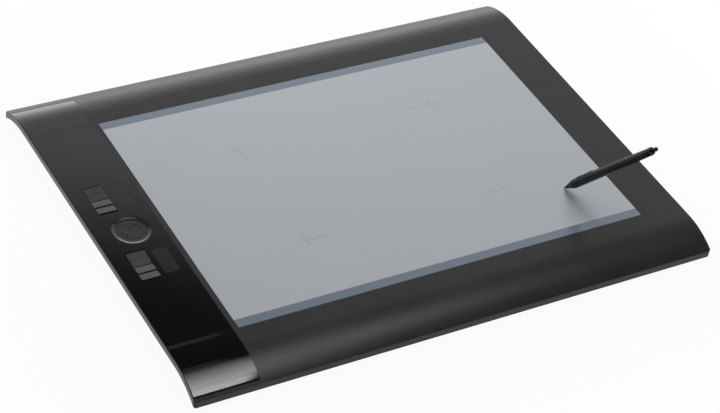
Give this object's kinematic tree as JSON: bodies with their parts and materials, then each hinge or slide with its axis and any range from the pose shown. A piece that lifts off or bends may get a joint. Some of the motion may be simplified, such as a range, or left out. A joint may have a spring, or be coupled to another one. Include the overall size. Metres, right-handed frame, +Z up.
{
  "type": "graphics tablet",
  "caption": "Wide arched graphics tablet with a gloss control column of press keys and a touch ring, a flush drawing sheet and a battery-free pen standing on it.",
  "frame": {"origin": "on the desk, under the middle of the tablet's plan", "axes": "+X along the tablet's length, away from the control column; +Y away from the user; +Z up"},
  "size_m": [0.623, 0.462, 0.152],
  "materials": {
    "matte_casing": "fine spark-eroded matte",
    "gloss_panel": "piano gloss",
    "sheet": "paper-like textured film",
    "key": "satin",
    "window": "satin smoked",
    "silicone": "translucent matte",
    "foot_rubber": "matte",
    "circuit_board": "solder-mask satin",
    "chip": "moulded epoxy",
    "display_glass": "polished",
    "steel": "zinc-plated",
    "screw_steel": "black zinc",
    "ribbon": "polyimide film",
    "nib": "worn matte",
    "pen_gloss": "gloss",
    "pen_matte": "soft-touch",
    "ferrite": "sintered",
    "copper": "enamelled wire"
  },
  "bodies": {
    "tablet": {"board_screws": "screw_steel", "bottom_casing": "matte_casing", "casing_screws": "screw_steel", "control_panel": "gloss_panel", "display_module_front": "display_glass", "display_module_rear": "display_glass", "display_window_front": "window", "display_window_rear": "window", "drawing_sheet": "sheet", "flat_cable": "ribbon", "front_end_cap": "gloss_panel", "key_board": "circuit_board", "key_domes_front": "silicone", "key_domes_rear": "silicone", "main_board": "circuit_board", "main_chips": "chip", "panel_screws": "screw_steel", "rear_end_cap": "gloss_panel", "ring_dome": "silicone", "ring_sensor": "circuit_board", "rubber_feet": "foot_rubber", "sensor_board": "circuit_board", "sensor_cable": "ribbon", "shield_plate": "steel", "top_casing": "matte_casing", "touch_ring": "key", "usb_socket_front": "steel", "usb_socket_rear": "steel"},
    "key_1_body": {"key_1": "key"},
    "key_2_body": {"key_2": "key"},
    "key_3_body": {"key_3": "key"},
    "key_4_body": {"key_4": "key"},
    "key_5_body": {"key_5": "key"},
    "key_6_body": {"key_6": "key"},
    "key_7_body": {"key_7": "key"},
    "key_8_body": {"key_8": "key"},
    "ring_button_body": {"ring_button": "key"},
    "port_cover_body": {"port_cover": "matte_casing"},
    "pen": {"pen_board": "circuit_board", "pen_coil": "copper", "pen_eraser_sensor": "chip", "pen_ferrite": "ferrite", "pen_lower_barrel": "pen_matte", "pen_nose_cone": "pen_gloss", "pen_pressure_sensor": "chip", "pen_tail_collar": "pen_gloss", "pen_upper_barrel": "pen_matte"},
    "nib": {"pen_nib": "nib"},
    "eraser": {"pen_eraser": "pen_gloss"},
    "side_switch": {"pen_side_switch": "pen_gloss"}
  },
  "joints": [
    {"name": "key_1_press", "type": "slide", "parent": "tablet", "child": "key_1_body", "axis": [0, 0, -1], "range_m": [0, 0.0008], "stiffness_N_per_m": 700, "springref_m": -0.0006, "deforming": ["key_domes_rear"]},
    {"name": "key_2_press", "type": "slide", "parent": "tablet", "child": "key_2_body", "axis": [0, 0, -1], "range_m": [0, 0.0008], "stiffness_N_per_m": 700, "springref_m": -0.0006},
    {"name": "key_3_press", "type": "slide", "parent": "tablet", "child": "key_3_body", "axis": [0, 0, -1], "range_m": [0, 0.0008], "stiffness_N_per_m": 700, "springref_m": -0.0006},
    {"name": "key_4_press", "type": "slide", "parent": "tablet", "child": "key_4_body", "axis": [0, 0, -1], "range_m": [0, 0.0008], "stiffness_N_per_m": 700, "springref_m": -0.0006},
    {"name": "key_5_press", "type": "slide", "parent": "tablet", "child": "key_5_body", "axis": [0, 0, -1], "range_m": [0, 0.0008], "stiffness_N_per_m": 700, "springref_m": -0.0006, "deforming": ["key_domes_front"]},
    {"name": "key_6_press", "type": "slide", "parent": "tablet", "child": "key_6_body", "axis": [0, 0, -1], "range_m": [0, 0.0008], "stiffness_N_per_m": 700, "springref_m": -0.0006},
    {"name": "key_7_press", "type": "slide", "parent": "tablet", "child": "key_7_body", "axis": [0, 0, -1], "range_m": [0, 0.0008], "stiffness_N_per_m": 700, "springref_m": -0.0006},
    {"name": "key_8_press", "type": "slide", "parent": "tablet", "child": "key_8_body", "axis": [0, 0, -1], "range_m": [0, 0.0008], "stiffness_N_per_m": 700, "springref_m": -0.0006},
    {"name": "ring_button_press", "type": "slide", "parent": "tablet", "child": "ring_button_body", "axis": [0, 0, -1], "range_m": [0, 0.0008], "stiffness_N_per_m": 700, "springref_m": -0.0006, "deforming": ["ring_dome"]},
    {"name": "port_cover_slide", "type": "slide", "parent": "tablet", "child": "port_cover_body", "axis": [0, 1, 0], "range_m": [-0.046, 0]},
    {"name": "pen_lift", "type": "slide", "parent": "tablet", "child": "pen", "axis": [0, 0, 1], "range_m": [0, 0.12]},
    {"name": "nib_press", "type": "slide", "parent": "pen", "child": "nib", "axis": [0.1579, -0.5922, 0.7902], "range_m": [0, 0.0005], "stiffness_N_per_m": 900, "springref_m": -0.0004},
    {"name": "eraser_press", "type": "slide", "parent": "pen", "child": "eraser", "axis": [-0.1579, 0.5922, -0.7902], "range_m": [0, 0.001], "stiffness_N_per_m": 500, "springref_m": -0.0004},
    {"name": "side_switch_rock", "type": "hinge", "parent": "pen", "child": "side_switch", "pos_m": [0.20761, -0.12003, 0.06059], "axis": [-0.9662, -0.2576, 0], "range_deg": [-3, 3], "stiffness_Nm_per_rad": 0.05}
  ]
}
